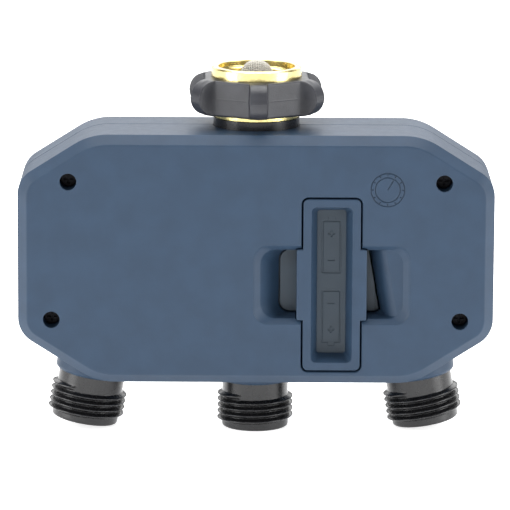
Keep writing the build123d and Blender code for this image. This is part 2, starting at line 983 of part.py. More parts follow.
seal_height = flange_top - ring_section - seat_gap
with BuildPart() as outlet_seals:
    for place in outlet_planes.values():
        revolve(ring_seal(place, outlet_seal_radius, seal_height), axis=axis_of(place))
outlet_seals.part.label = "outlet_seals"
export_step(outlet_seals.part, "parts/outlet_seals.step")

# ---------------------------------------------------------------- valves
socket_bore = pipe_radius + seat_gap
pipe_seal_height = valve_top + socket_height / 2
pipe_seal_radius = pipe_radius + seat_gap / 2 + ring_section
core_bore = core_radius - core_wall
plug_bottom = bonnet_bottom + seat_gap + plunger_length + plunger_spring
core_top = plug_bottom + core_plug
coil_bottom = bonnet_top + hump_clear


def valve_block(place):
    """The block on an outlet's flange: water comes down the pipe, over the seat and out."""
    floor = shifted(place, 0, valve_bottom)
    passage_top = valve_height - chamber_depth - valve_floor
    with BuildPart() as block:
        with BuildSketch(floor):
            with Locations((0, pilot_y)):
                Circle(pilot_radius)
            with Locations((0, pipe_y)):
                Circle(socket_radius)
            Circle(valve_half_width)
            make_hull()
        extrude(amount=valve_height)
        extrude(disc(shifted(place, pipe_y, valve_top), socket_radius), amount=socket_height)
        extrude(disc(floor, passage_radius), amount=passage_top, mode=Mode.SUBTRACT)
        with BuildSketch(shifted(place, 0, valve_bottom + valve_floor)):
            with Locations((0, pilot_y / 2)):
                Rectangle(channel_width, -pilot_y)
        extrude(amount=passage_top - valve_floor, mode=Mode.SUBTRACT)
        chamber = shifted(place, pilot_y, valve_top - chamber_depth)
        extrude(disc(chamber, chamber_radius, seat_radius), amount=chamber_depth, mode=Mode.SUBTRACT)
        throat = shifted(place, pilot_y, valve_bottom + valve_floor)
        extrude(disc(throat, seat_bore), amount=valve_height, mode=Mode.SUBTRACT)
        with BuildSketch(shifted(place, 0, valve_top - chamber_depth)):
            with Locations((0, pipe_y)):
                Rectangle(
                    channel_width,
                    pipe_y - pilot_y - (seat_radius + chamber_radius) / 2,
                    align=(Align.CENTER, Align.MAX),
                )
        extrude(amount=channel_depth, mode=Mode.SUBTRACT)
        inflow = shifted(place, pipe_y, valve_top - chamber_depth)
        extrude(disc(inflow, pipe_bore), amount=chamber_depth, mode=Mode.SUBTRACT)
        socket = shifted(place, pipe_y, valve_top - valve_floor)
        extrude(disc(socket, socket_bore), amount=valve_height + socket_height, mode=Mode.SUBTRACT)
        pipe_place = shifted(place, pipe_y)
        revolve(
            ring_profile(
                pipe_place, pipe_radius + ring_section, pipe_seal_height, 2 * groove_width, groove_width
            ),
            axis=axis_of(pipe_place),
            mode=Mode.SUBTRACT,
        )
    return block.part


def valve_diaphragm(place):
    """The rubber disc on the seat, with two bleed holes."""
    with BuildPart() as disc_part:
        pilot = shifted(place, pilot_y, valve_top)
        extrude(disc(pilot, diaphragm_radius), amount=diaphragm_thickness)
        with BuildSketch(pilot):
            with PolarLocations((seat_radius + chamber_radius) / 2, 2):
                Circle(bleed_radius)
        extrude(amount=diaphragm_thickness, mode=Mode.SUBTRACT)
    return disc_part.part


def valve_bonnet(place):
    """The cap over the disc, with the core tube on it and the fixed core in the tube's end."""
    pilot = shifted(place, pilot_y)
    with BuildPart() as cap:
        revolve(
            profile(
                pilot,
                [
                    (core_bore, bonnet_bottom),
                    (bonnet_radius, bonnet_bottom),
                    (bonnet_radius, bonnet_top),
                    (core_radius, bonnet_top),
                    (core_radius, core_top),
                    (0, core_top),
                    (0, plug_bottom),
                    (core_bore, plug_bottom),
                ],
            ),
            axis=axis_of(pilot),
        )
    return cap.part


def valve_coil(place):
    """The winding between its two end cheeks."""
    pilot = shifted(place, pilot_y)
    coil_bore = core_radius + close_gap
    coil_top = coil_bottom + coil_length
    with BuildPart() as winding:
        revolve(
            profile(
                pilot,
                [
                    (coil_bore, coil_bottom),
                    (coil_radius, coil_bottom),
                    (coil_radius, coil_bottom + coil_flange),
                    (coil_winding, coil_bottom + coil_flange),
                    (coil_winding, coil_top - coil_flange),
                    (coil_radius, coil_top - coil_flange),
                    (coil_radius, coil_top),
                    (coil_bore, coil_top),
                ],
            ),
            axis=axis_of(pilot),
        )
    return winding.part


def valve_plunger(place):
    """The moving iron core."""
    with BuildPart() as core:
        pilot = shifted(place, pilot_y, bonnet_bottom + seat_gap)
        extrude(disc(pilot, core_bore - close_gap), amount=plunger_length)
    return core.part


def valve_spring(place):
    """The return spring between the moving and the fixed core."""
    with BuildPart() as sleeve:
        pilot = shifted(place, pilot_y, bonnet_bottom + seat_gap + plunger_length)
        outer = core_bore - sliding_gap
        extrude(disc(pilot, outer, outer - spring_wall), amount=plunger_spring)
    return sleeve.part


for side_name, place in outlet_planes.items():
    with BuildPart() as valve:
        add(valve_block(place))
    valve.part.label = "valve_" + side_name
    export_step(valve.part, "parts/valve_" + side_name + ".step")

    with BuildPart() as diaphragm:
        add(valve_diaphragm(place))
    diaphragm.part.label = "diaphragm_" + side_name
    export_step(diaphragm.part, "parts/diaphragm_" + side_name + ".step")

    with BuildPart() as bonnet:
        add(valve_bonnet(place))
    bonnet.part.label = "bonnet_" + side_name
    export_step(bonnet.part, "parts/bonnet_" + side_name + ".step")

    with BuildPart() as coil:
        add(valve_coil(place))
    coil.part.label = "coil_" + side_name
    export_step(coil.part, "parts/coil_" + side_name + ".step")

    with BuildPart() as plunger:
        add(valve_plunger(place))
    plunger.part.label = "plunger_" + side_name
    export_step(plunger.part, "parts/plunger_" + side_name + ".step")

    with BuildPart() as spring:
        add(valve_spring(place))
    spring.part.label = "plunger_spring_" + side_name
    export_step(spring.part, "parts/plunger_spring_" + side_name + ".step")

with BuildPart() as pipe_seals:
    for place in outlet_planes.values():
        pipe_place = shifted(place, pipe_y)
        revolve(ring_seal(pipe_place, pipe_seal_radius, pipe_seal_height), axis=axis_of(pipe_place))
pipe_seals.part.label = "pipe_seals"
export_step(pipe_seals.part, "parts/pipe_seals.step")

# ---------------------------------------------------------------- battery cassette
frame_back = rear_y + window_depth
tray_front = frame_back + tray_plate
cell_pitch = 2 * battery_radius + battery_gap
cell_spots_y = [tray_front + battery_gap + battery_radius + cell_pitch * row for row in (0, 1)]
tray_back = cell_spots_y[-1] + battery_radius + battery_gap
tray_end = tray_back + tray_wall
cell_x = cassette_x - frame_width / 2 + tray_wall + sliding_gap + battery_radius
cassette_z_place = cassette_centre[1]

with BuildPart() as cassette_frame:
    extrude(rounded(rear_y, frame_width, frame_height, slot_radius - slot_gap), amount=-window_depth)
    extrude(rounded(rear_y, grip_width, grip_height, grip_radius), amount=-grip_depth)
    face_rim = cassette_frame.faces().sort_by(Axis.Y)[0].edges()
    fillet(face_rim, face_softening)
    extrude(
        rounded(frame_back, frame_width + 2 * close_gap, grip_height + window_radius, grip_radius),
        amount=-window_depth,
        mode=Mode.SUBTRACT,
    )
    loft(
        [
            rounded(rear_y, window_width, window_height, window_radius),
            rounded(
                frame_back,
                window_width - 2 * window_slope,
                window_height - 2 * window_slope,
                window_radius / 2,
            ),
        ],
        ruled=True,
        mode=Mode.SUBTRACT,
    )
cassette_frame.part.label = "cassette_frame"
export_step(cassette_frame.part, "parts/cassette_frame.step")

# The carrier: a plate behind the frame, two ends, one side and a back. The face carries the
# outlines of two cells, one each way up.
with BuildPart() as cassette_tray:
    extrude(
        rounded(frame_back, frame_width, frame_height, slot_radius - slot_gap),
        amount=frame_back - tray_end,
    )
    with BuildSketch(back_plane(tray_front)):
        with Locations((cassette_x + tray_wall, cassette_z_place)):
            Rectangle(frame_width, frame_height - 2 * tray_wall)
    extrude(amount=tray_front - tray_back, mode=Mode.SUBTRACT)
    for way in (-1, 1):
        middle = cassette_z_place + way * cell_mark_step
        nub = middle + way * (cell_mark_length / 2 + cell_mark_width)
        with BuildSketch(back_plane(frame_back)):
            with Locations((cassette_x, middle)):
                RectangleRounded(cell_mark_across, cell_mark_length, cell_mark_width)
                RectangleRounded(
                    cell_mark_across - 2 * cell_mark_width,
                    cell_mark_length - 2 * cell_mark_width,
                    cell_mark_width / 2,
                    mode=Mode.SUBTRACT,
                )
            with Locations((cassette_x, nub)):
                Rectangle(cell_mark_across / 3, 2 * cell_mark_width)
            with Locations((cassette_x, middle + way * cell_mark_length / 4)):
                Rectangle(cell_mark_across / 3, cell_mark_width)
                Rectangle(cell_mark_width, cell_mark_across / 3)
            with Locations((cassette_x, middle - way * cell_mark_length / 4)):
                Rectangle(cell_mark_across / 3, cell_mark_width)
        extrude(amount=-cell_mark_depth, mode=Mode.SUBTRACT)
cassette_tray.part.label = "cassette_tray"
export_step(cassette_tray.part, "parts/cassette_tray.step")

# Two AA cells, one each way up, between flat contacts and bent leaf springs.
tray_inner = frame_height / 2 - tray_wall
with BuildPart() as batteries:
    for y, way in zip(cell_spots_y, (-1, 1)):
        tip = Plane(
            origin=(cell_x, y, cassette_z_place + way * (tray_inner - contact_thickness - close_gap)),
            z_dir=(0, 0, -way),
        )
        body_top = tip.offset(battery_nub)
        extrude(disc(body_top, battery_radius), amount=battery_length - battery_nub)
        extrude(disc(tip, battery_nub_radius), amount=battery_nub)
    cell_rims = batteries.edges().filter_by(
        lambda edge: abs(edge.length - 2 * math.pi * battery_radius) < close_gap
        and edge.geom_type == GeomType.CIRCLE
    )
    fillet(cell_rims, battery_nub / 2)
batteries.part.label = "batteries"
export_step(batteries.part, "parts/batteries.step")

with BuildPart() as battery_contacts:
    for y, way in zip(cell_spots_y, (-1, 1)):
        flat = cassette_z_place + way * (tray_inner - contact_thickness / 2)
        sprung = cassette_z_place - way * (tray_inner - contact_thickness / 2)
        with Locations((cell_x, y, flat), (cell_x, y, sprung)):
            Box(contact_width, contact_width, contact_thickness)
        with BuildSketch(Plane.YZ.offset(cell_x - contact_width / 4)):
            with BuildLine():
                Polyline(
                    (y - contact_width / 2, sprung),
                    (y - contact_width / 2 + contact_thickness, sprung + way * contact_spring),
                    (y + contact_width / 4, sprung + way * contact_spring),
                    (y + contact_width / 4, sprung + way * (contact_spring - contact_thickness)),
                    (y - contact_width / 2 + 2 * contact_thickness,
                     sprung + way * (contact_spring - contact_thickness)),
                    (y - contact_width / 2 + contact_thickness, sprung),
                    close=True,
                )
            make_face()
        extrude(amount=contact_width / 2)
battery_contacts.part.label = "battery_contacts"
export_step(battery_contacts.part, "parts/battery_contacts.step")

# ---------------------------------------------------------------- battery bay
bay_start = rear_inner_y + seal_thickness
bay_back = tray_end + bay_gap
bay_end = bay_back + bay_wall
shell_back = block_y + pocket_wall + body_gap
terminal_spots = [
    (cell_x, cassette_z_place + sign * terminal_spacing / 2) for sign in (-1, 1)
]

with BuildPart() as battery_bay:
    extrude(
        rounded(bay_start, bay_width, bay_height, slot_radius + bay_wall),
        amount=bay_start - bay_end,
    )
    with BuildSketch(back_plane(bay_start)):
        with Locations(cassette_centre):
            Rectangle(
                pocket_width,
                pocket_height + 2 * pocket_wall + 2 * body_gap,
            )
    extrude(amount=bay_start - shell_back, mode=Mode.SUBTRACT)
    extrude(
        rounded(block_y, block_width, block_height, block_radius),
        amount=block_y - shell_back - block_flange,
    )
    extrude(
        rounded(
            shell_back,
            block_width + 3 * block_flange,
            block_height + 3 * block_flange,
            block_radius + block_flange,
        ),
        amount=-block_flange,
    )
    extrude(
        rounded(rear_y, slot_width, slot_height, slot_radius),
        amount=rear_y - bay_back,
        mode=Mode.SUBTRACT,
    )
    with BuildSketch(back_plane(block_y)):
        with Locations((cassette_x + block_width / 2 - block_slot_inset, cassette_z_place)):
            Rectangle(block_slot_width, block_height)
    extrude(amount=-block_slot_depth, mode=Mode.SUBTRACT)
    extrude(disc(shifted(right_place, hump_y), hump_radius + hump_gap), amount=2 * hump_bottom, mode=Mode.SUBTRACT)
    with BuildSketch(shifted(right_place, hump_y)):
        with Locations((0, hump_radius)):
            Rectangle(2 * (hump_radius + hump_gap), 2 * hump_radius)
    extrude(amount=2 * hump_bottom, mode=Mode.SUBTRACT)
    with BuildSketch(back_plane(bay_back)):
        with Locations(*terminal_spots):
            Rectangle(terminal_width + 2 * close_gap, terminal_width + 2 * close_gap)
    extrude(amount=-2 * bay_wall, mode=Mode.SUBTRACT)
battery_bay.part.label = "battery_bay"
export_step(battery_bay.part, "parts/battery_bay.step")

with BuildPart() as bay_seal:
    extrude(
        rounded(rear_inner_y + seat_gap, bay_width, bay_height, slot_radius + bay_wall),
        amount=-(seal_thickness - 2 * seat_gap),
    )
    extrude(
        rounded(rear_inner_y, slot_width, slot_height, slot_radius),
        amount=-seal_thickness,
        mode=Mode.SUBTRACT,
    )
    with BuildSketch(back_plane(rear_inner_y)):
        with Locations(cassette_centre):
            Rectangle(
                pocket_width,
                pocket_height + 2 * pocket_wall + 2 * body_gap,
            )
    extrude(amount=-seal_thickness, mode=Mode.SUBTRACT)
bay_seal.part.label = "bay_seal"
export_step(bay_seal.part, "parts/bay_seal.step")

with BuildPart() as bay_terminals:
    with BuildSketch(back_plane(bay_back - sliding_gap)):
        with Locations(*terminal_spots):
            Rectangle(terminal_width, terminal_width)
    extrude(amount=bay_back - sliding_gap - board_y + seat_gap)
bay_terminals.part.label = "bay_terminals"
export_step(bay_terminals.part, "parts/bay_terminals.step")

# ---------------------------------------------------------------- electronics
lcd_centre = (lcd_x, case_z)
knob_centre = (knob_x, case_z)
button_spots = {
    "button_up": (button_x - button_spacing_x / 2, case_z + button_spacing_z / 2),
    "button_down": (button_x - button_spacing_x / 2, case_z - button_spacing_z / 2),
    "button_select": (button_x + button_spacing_x / 2, case_z + button_spacing_z / 2),
    "button_manual": (button_x + button_spacing_x / 2, case_z - button_spacing_z / 2),
}
switch_size = knob_radius * 0.8
switch_depth = fascia_back_y - board_front_y - body_gap
knob_back = front_face_y + knob_gap
stem_end = board_front_y + keypad_thickness + button_travel + sliding_gap

with BuildPart() as circuit_board:
    extrude(rounded(board_y, board_width, board_height, wall, panel_centre), amount=-board_thickness)
    extrude(
        round_at(board_y, board_screw_radius + sliding_gap, board_spots),
        amount=-board_thickness,
        mode=Mode.SUBTRACT,
    )
circuit_board.part.label = "circuit_board"
export_step(circuit_board.part, "parts/circuit_board.step")

with BuildPart() as board_screws:
    extrude(round_at(board_y, board_screw_head, board_spots), amount=board_screw_radius)
    extrude(round_at(board_y, board_screw_radius, board_spots), amount=-board_thickness - board_screw_bite + 1)
board_screws.part.label = "board_screws"
export_step(board_screws.part, "parts/board_screws.step")

with BuildPart() as rotary_switch:
    extrude(
        rounded(board_front_y + seat_gap, switch_size, switch_size, wall / 2, knob_centre),
        amount=-switch_depth,
    )
    extrude(
        round_at(board_front_y + wall / 2, knob_shaft_radius + seat_gap, [knob_centre]),
        amount=-switch_depth,
        mode=Mode.SUBTRACT,
    )
rotary_switch.part.label = "rotary_switch"
export_step(rotary_switch.part, "parts/rotary_switch.step")

with BuildPart() as lcd_module:
    extrude(
        rounded(board_front_y + seat_gap, lcd_width + lens_border, lcd_height + lens_border, wall / 2,
                lcd_centre),
        amount=-lcd_depth,
    )
lcd_module.part.label = "lcd_module"
export_step(lcd_module.part, "parts/lcd_module.step")

keypad_width = button_spacing_x + button_width + 2 * button_flange
keypad_height = button_spacing_z + button_height + 2 * button_flange
with BuildPart() as keypad:
    extrude(
        rounded(board_front_y + seat_gap, keypad_width, keypad_height, wall, (button_x, case_z)),
        amount=-keypad_thickness,
    )
keypad.part.label = "keypad"
export_step(keypad.part, "parts/keypad.step")

# One lead from each coil's top, round its pipe to the back of the board.
with BuildPart() as coil_leads:
    for side_name, place in outlet_planes.items():
        inward = 1 if side_name == "left" else -1
        top = coil_bottom + coil_length
        lead_place = shifted(place, 0, top + seat_gap)
        route = [
            (inward * lead_start, pilot_y, 0),
            (inward * lead_start, pilot_y, lead_rise),
            (inward * lead_start, pilot_y + socket_radius, lead_rise),
            (inward * lead_side, pilot_y + socket_radius + socket_height, lead_rise),
            (inward * lead_side, board_y - seat_gap, lead_rise),
        ]
        world = [lead_place.from_local_coords(Vector(*point)) for point in route]
        with BuildLine(mode=Mode.PRIVATE) as lead_path:
            FilletPolyline(*world, radius=lead_bend)
        with BuildSketch(lead_place) as lead_section:
            with Locations((inward * lead_start, pilot_y)):
                Circle(lead_radius)
        sweep(lead_section.sketch, path=lead_path.line)
coil_leads.part.label = "coil_leads"
export_step(coil_leads.part, "parts/coil_leads.step")

# ---------------------------------------------------------------- front panel
fascia_fit = sliding_gap
with BuildPart() as fascia:
    extrude(
        rounded(front_face_y, fascia_width, fascia_height, fascia_radius, panel_centre),
        amount=fascia_thickness,
    )
    extrude(
        rounded(
            fascia_seat_y,
            fascia_width - 2 * fascia_ledge - 2 * fascia_fit,
            fascia_height - 2 * fascia_ledge - 2 * fascia_fit,
            fascia_radius - fascia_ledge,
            panel_centre,
        ),
        amount=fascia_back,
    )
    extrude(
        round_at(board_front_y + seat_gap, board_post_radius, board_spots),
        amount=-(fascia_back_y - board_front_y),
    )
    extrude(
        round_at(board_front_y, board_screw_radius, board_spots),
        amount=-board_screw_bite,
        mode=Mode.SUBTRACT,
    )
    extrude(
        rounded(
            front_face_y,
            lcd_width + 2 * lens_border + 2 * close_gap,
            lcd_height + 2 * lens_border + 2 * close_gap,
            lens_border,
            lcd_centre,
        ),
        amount=lens_thickness,
        mode=Mode.SUBTRACT,
    )
    extrude(
        rounded(front_face_y, lcd_width, lcd_height, lens_border / 2, lcd_centre),
        amount=2 * wall,
        mode=Mode.SUBTRACT,
    )
    extrude(
        round_at(front_face_y, knob_shaft_radius + close_gap, [knob_centre]),
        amount=2 * wall,
        mode=Mode.SUBTRACT,
    )
    for spot in button_spots.values():
        extrude(
            rounded(
                front_face_y,
                button_width + 2 * sliding_gap,
                button_height + 2 * sliding_gap,
                button_flange,
                spot,
            ),
            amount=2 * wall,
            mode=Mode.SUBTRACT,
        )
fascia.part.label = "fascia"
export_step(fascia.part, "parts/fascia.step")

with BuildPart() as lcd_lens:
    extrude(
        rounded(
            front_face_y,
            lcd_width + 2 * lens_border,
            lcd_height + 2 * lens_border,
            lens_border,
            lcd_centre,
        ),
        amount=lens_thickness - seat_gap,
    )
lcd_lens.part.label = "lcd_lens"
export_step(lcd_lens.part, "parts/lcd_lens.step")

with BuildPart() as dial:
    extrude(round_at(knob_back, knob_radius, [knob_centre]), amount=-(knob_height - grip_bar_height))
    extrude(
        rounded(
            knob_back + knob_height - grip_bar_height,
            grip_bar_width,
            2 * knob_radius * 0.9,
            grip_bar_width / 3,
            knob_centre,
        ),
        amount=-grip_bar_height,
    )
    knob_rim = dial.faces().sort_by(Axis.Y)[-1].edges()
    fillet(knob_rim, knob_gap)
    extrude(
        round_at(knob_back, knob_shaft_radius, [knob_centre]),
        amount=knob_back - board_front_y - wall / 2 - body_gap,
    )
dial.part.label = "dial"
export_step(dial.part, "parts/dial.step")


def push_button(spot):
    """A rounded key with a flange to keep it in and a stem that presses the keypad."""
    with BuildPart() as key:
        extrude(
            rounded(front_face_y + button_proud, button_width, button_height, button_flange, spot),
            amount=front_face_y + button_proud - fascia_back_y + button_flange,
        )
        key_rim = key.faces().sort_by(Axis.Y)[-1].edges()
        fillet(key_rim, button_proud / 3)
        extrude(
            rounded(
                fascia_back_y - seat_gap,
                button_width + 2 * button_flange,
                button_height + 2 * button_flange,
                button_flange,
                spot,
            ),
            amount=button_flange - seat_gap,
        )
        extrude(
            round_at(stem_end, button_flange, [spot]),
            amount=stem_end - fascia_back_y,
        )
    return key.part


for button_name, spot in button_spots.items():
    with BuildPart() as button:
        add(push_button(spot))
    button.part.label = button_name
    export_step(button.part, "parts/" + button_name + ".step")
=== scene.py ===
"""Drip irrigation timer: camera, studio, materials, and the pieces made as smooth surfaces."""
import json
import math

import bpy
import numpy as np
from mathutils import Matrix, Vector


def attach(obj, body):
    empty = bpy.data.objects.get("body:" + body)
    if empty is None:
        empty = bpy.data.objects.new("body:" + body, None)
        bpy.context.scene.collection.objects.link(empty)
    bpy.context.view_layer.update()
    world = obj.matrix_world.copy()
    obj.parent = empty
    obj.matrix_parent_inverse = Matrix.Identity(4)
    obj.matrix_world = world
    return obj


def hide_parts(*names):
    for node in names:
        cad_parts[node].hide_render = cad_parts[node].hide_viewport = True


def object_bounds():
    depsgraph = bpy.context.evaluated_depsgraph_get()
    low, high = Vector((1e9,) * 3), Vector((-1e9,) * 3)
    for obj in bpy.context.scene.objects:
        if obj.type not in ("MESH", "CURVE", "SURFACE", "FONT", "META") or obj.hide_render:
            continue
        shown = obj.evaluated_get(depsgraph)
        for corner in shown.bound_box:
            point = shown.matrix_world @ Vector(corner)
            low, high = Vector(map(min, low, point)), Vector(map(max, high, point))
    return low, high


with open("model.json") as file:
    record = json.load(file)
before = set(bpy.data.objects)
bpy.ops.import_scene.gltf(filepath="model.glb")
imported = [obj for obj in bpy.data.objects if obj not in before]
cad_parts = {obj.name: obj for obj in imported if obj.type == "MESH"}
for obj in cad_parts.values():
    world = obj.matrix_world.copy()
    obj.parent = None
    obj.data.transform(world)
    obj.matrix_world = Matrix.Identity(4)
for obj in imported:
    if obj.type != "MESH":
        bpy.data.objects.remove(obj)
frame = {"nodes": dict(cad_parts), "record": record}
cad_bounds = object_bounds()
MM = 0.001
FULL_TURN = 2 * math.pi

# ---------------------------------------------------------------- camera and studio
CAMERA_LIFT, CAMERA_YAW, CAMERA_ROLL = 11.04, -0.105, 0.30
CAMERA_AIM = (-0.26, 0.0, -68.2)
CAMERA_DISTANCE, CAMERA_LENS, CAMERA_SENSOR = 1547.8, 306.3, 36.0
CAMERA_NEAR, CAMERA_FAR = 0.05, 20.0

LIGHT_AIM = (0.0, 0.0, -0.065)
LIGHTS = {  # name: place, width and height in metres, power in watts
    "overhead": ((0.0, 0.15, 0.75), (1.0, 0.7), 12.5),
    "left": ((-0.85, -0.35, 0.15), (0.5, 0.9), 9.0),
    "right": ((0.85, -0.35, 0.15), (0.5, 0.9), 9.0),
    "front": ((-0.1, -1.3, 0.5), (0.9, 0.6), 1.5),
    "glint": ((-0.35, -0.85, 0.65), (0.18, 0.18), 2.2),
    "rim": ((0.0, 0.9, 0.35), (1.4, 0.5), 5.0),
}
WORLD_STRENGTH = 0.22
FLOOR_REACH, FLOOR_GAP = 30.0, 0.0002
FLOOR_COLOUR, FLOOR_ROUGHNESS, FLOOR_GLOW = (0.9, 0.9, 0.9, 1), 0.7, 0.8


def place_camera():
    """A long lens a little above the case, looking at its back."""
    lift, yaw, roll = (math.radians(a) for a in (CAMERA_LIFT, CAMERA_YAW, CAMERA_ROLL))
    flat = math.cos(lift)
    back = Vector((math.sin(yaw) * flat, -math.cos(yaw) * flat, math.sin(lift)))
    level = Vector((0, 0, 1)).cross(back).normalized()
    upright = back.cross(level)
    right = level * math.cos(roll) + upright * math.sin(roll)
    up = upright * math.cos(roll) - level * math.sin(roll)
    data = bpy.data.cameras.new("camera")
    data.sensor_width = CAMERA_SENSOR
    data.lens = CAMERA_LENS
    data.clip_start = CAMERA_NEAR
    data.clip_end = CAMERA_FAR
    camera = bpy.data.objects.new("camera", data)
    bpy.context.scene.collection.objects.link(camera)
    place = Vector(CAMERA_AIM) * MM + back * CAMERA_DISTANCE * MM
    turn = Matrix((right, up, back)).transposed().to_4x4()
    camera.matrix_world = Matrix.Translation(place) @ turn
    bpy.context.scene.camera = camera


def area_light(name, place, size, power):
    data = bpy.data.lights.new(name, "AREA")
    data.shape = "RECTANGLE"
    data.size, data.size_y = size
    data.energy = power
    light = bpy.data.objects.new(name, data)
    light.location = place
    aim = Vector(LIGHT_AIM) - Vector(place)
    light.rotation_euler = aim.to_track_quat("-Z", "Y").to_euler()
    bpy.context.scene.collection.objects.link(light)


def make_floor():
    """A wide pale floor just under the lowest outlet."""
    low = cad_bounds[0][2] - FLOOR_GAP
    signs = [(-1, -1), (1, -1), (1, 1), (-1, 1)]
    corners = [(x * FLOOR_REACH, y * FLOOR_REACH, low) for x, y in signs]
    mesh = bpy.data.meshes.new("floor")
    mesh.from_pydata(corners, [], [(0, 1, 2, 3)])
    floor = bpy.data.objects.new("floor", mesh)
    bpy.context.scene.collection.objects.link(floor)
    pale = bpy.data.materials.new("floor_pale")
    pale.use_nodes = True
    shader = pale.node_tree.nodes["Principled BSDF"]
    shader.inputs["Base Color"].default_value = FLOOR_COLOUR
    shader.inputs["Roughness"].default_value = FLOOR_ROUGHNESS
    shader.inputs["Emission Color"].default_value = (1, 1, 1, 1)
    shader.inputs["Emission Strength"].default_value = FLOOR_GLOW
    mesh.materials.append(pale)


def studio():
    """A white floor, one wide light overhead and a soft light each side of the camera."""
    world = bpy.data.worlds.new("studio")
    world.use_nodes = True
    background = world.node_tree.nodes["Background"]
    background.inputs["Color"].default_value = (1, 1, 1, 1)
    background.inputs["Strength"].default_value = WORLD_STRENGTH
    bpy.context.scene.world = world
    bpy.context.scene.view_settings.view_transform = "Standard"
    for name, (place, size, power) in LIGHTS.items():
        area_light(name, place, size, power)
    make_floor()


# ---------------------------------------------------------------- materials
COLOUR_PATCH = 9.0  # mm across a patch of slightly lighter or darker plastic
ROUGH_PATCH = 6  # grains across a patch of slightly duller plastic
PLASTICS = {  # slot: display colour, roughness, grain and its depth, edge, mottle, gloss
    "case_blue": ((38, 56, 76), 0.46, 0.45, 0.035, 0.4, 0.06, 0.3),
    "grip_grey": ((44, 45, 50), 0.38, 0.5, 0.05, 0.4, 0.22, 0.4),
    "thread_black": ((20, 20, 22), 0.27, 0.6, 0.012, 0.2, 0.1),
    "panel_grey": ((34, 50, 63), 0.5, 0.35, 0.02, 0.25),
    "rubber_black": ((32, 32, 33), 0.7, 0.5, 0.02, 0.1),
    "valve_white": ((222, 222, 216), 0.45, 0.5, 0.01, 0.2),
    "cell_wrap": ((60, 66, 72), 0.28, 0.8, 0.004, 0.2),
    "board_green": ((28, 92, 52), 0.35, 0.5, 0.01, 0.1),
    "panel_face": ((44, 48, 54), 0.3, 0.5, 0.006, 0.2),
    "lcd_glass": ((150, 160, 146), 0.25, 0.8, 0.002, 0.1),
    "knob_grey": ((62, 66, 72), 0.45, 0.4, 0.02, 0.4),
    "button_grey": ((150, 154, 160), 0.5, 0.4, 0.02, 0.4),
    "lead_red": ((170, 34, 30), 0.4, 0.5, 0.01, 0.1),
}
METALS = {  # slot: display colour, roughness, grain and its depth, edge, stretch
    "brass": ((228, 212, 146), 0.22, 0.8, 0.045, 0.3),
    "mesh_steel": ((200, 196, 186), 0.3),
    # screw_steel is near black partly as painted shade of the screw holes, partly for a
    # black-oxide finish
    "screw_steel": ((30, 30, 32), 0.38),
    "copper_coil": ((190, 105, 60), 0.35, 0.3, 0.03, 0.1, (1, 1, 6)),
    "core_steel": ((180, 180, 182), 0.28, 0.4, 0.01, 0.1, (1, 1, 0.2)),
    "contact_steel": ((206, 206, 204), 0.22),
}


def linear(red, green, blue):
    """A display colour of 0 to 255 as a linear one."""
    out = []
    for value in (red, green, blue):
        share = value / 255
        out.append(share / 12.92 if share <= 0.04045 else ((share + 0.055) / 1.055) ** 2.4)
    return (*out, 1.0)


class Finish:
    """A material and short ways to add nodes to it."""

    def __init__(self, name, roughness, metallic=0.0):
        self.material = bpy.data.materials.new(name)
        self.material.use_nodes = True
        self.tree = self.material.node_tree
        self.shader = self.tree.nodes["Principled BSDF"]
        self.fix("Roughness", roughness)
        self.fix("Metallic", metallic)
        self.coords = self.tree.nodes.new("ShaderNodeTexCoord").outputs["Object"]
        self.normal = None

    def fix(self, name, value):
        """A value that is the same all over the surface."""
        self.shader.inputs[name].default_value = value

    def link(self, output, name):
        self.tree.links.new(output, self.shader.inputs[name])

    def add(self, kind, **inputs):
        node = self.tree.nodes.new(kind)
        for key, value in inputs.items():
            socket = node.inputs[key.replace("_", " ")]
            if hasattr(value, "is_output"):
                self.tree.links.new(value, socket)
            else:
                socket.default_value = value
        return node

    def noise(self, size, detail=2.0, rough=0.5, stretch=(1, 1, 1)):
        """Noise whose features are about size millimetres across."""
        coords = self.coords
        if stretch != (1, 1, 1):
            mapping = self.add("ShaderNodeMapping", Vector=coords, Scale=stretch)
            coords = mapping.outputs["Vector"]
        scale = 1000 / size
        node = self.add(
            "ShaderNodeTexNoise", Vector=coords, Scale=scale, Detail=detail, Roughness=rough
        )
        return node.outputs["Fac"]

    def ramp(self, factor, stops):
        node = self.tree.nodes.new("ShaderNodeValToRGB")
        self.tree.links.new(factor, node.inputs["Fac"])
        for element, (place, colour) in zip(node.color_ramp.elements, stops):
            element.position = place
            element.color = colour
        return node.outputs["Color"]

    def soften(self, radius):
        """Worn, rounded edges about radius millimetres wide."""
        node = self.tree.nodes.new("ShaderNodeBevel")
        node.samples = 6
        node.inputs["Radius"].default_value = radius * MM
        self.normal = node.outputs["Normal"]

    def bump(self, height, distance, strength=1.0):
        node = self.add("ShaderNodeBump", Height=height, Strength=strength, Distance=distance * MM)
        if self.normal is not None:
            self.tree.links.new(self.normal, node.inputs["Normal"])
        self.normal = node.outputs["Normal"]

    def done(self):
        self.link(self.normal, "Normal")
        return self.material


def greys(low, high):
    return [(0.0, (low, low, low, 1)), (1.0, (high, high, high, 1))]


def spread(colour, share):
    """Two stops round a colour, a little darker and a little lighter."""
    dark = tuple(c * (1 - share) for c in colour[:3]) + (1,)
    light = tuple(min(1.0, c * (1 + share)) for c in colour[:3]) + (1,)
    return [(0.35, dark), (0.65, light)]


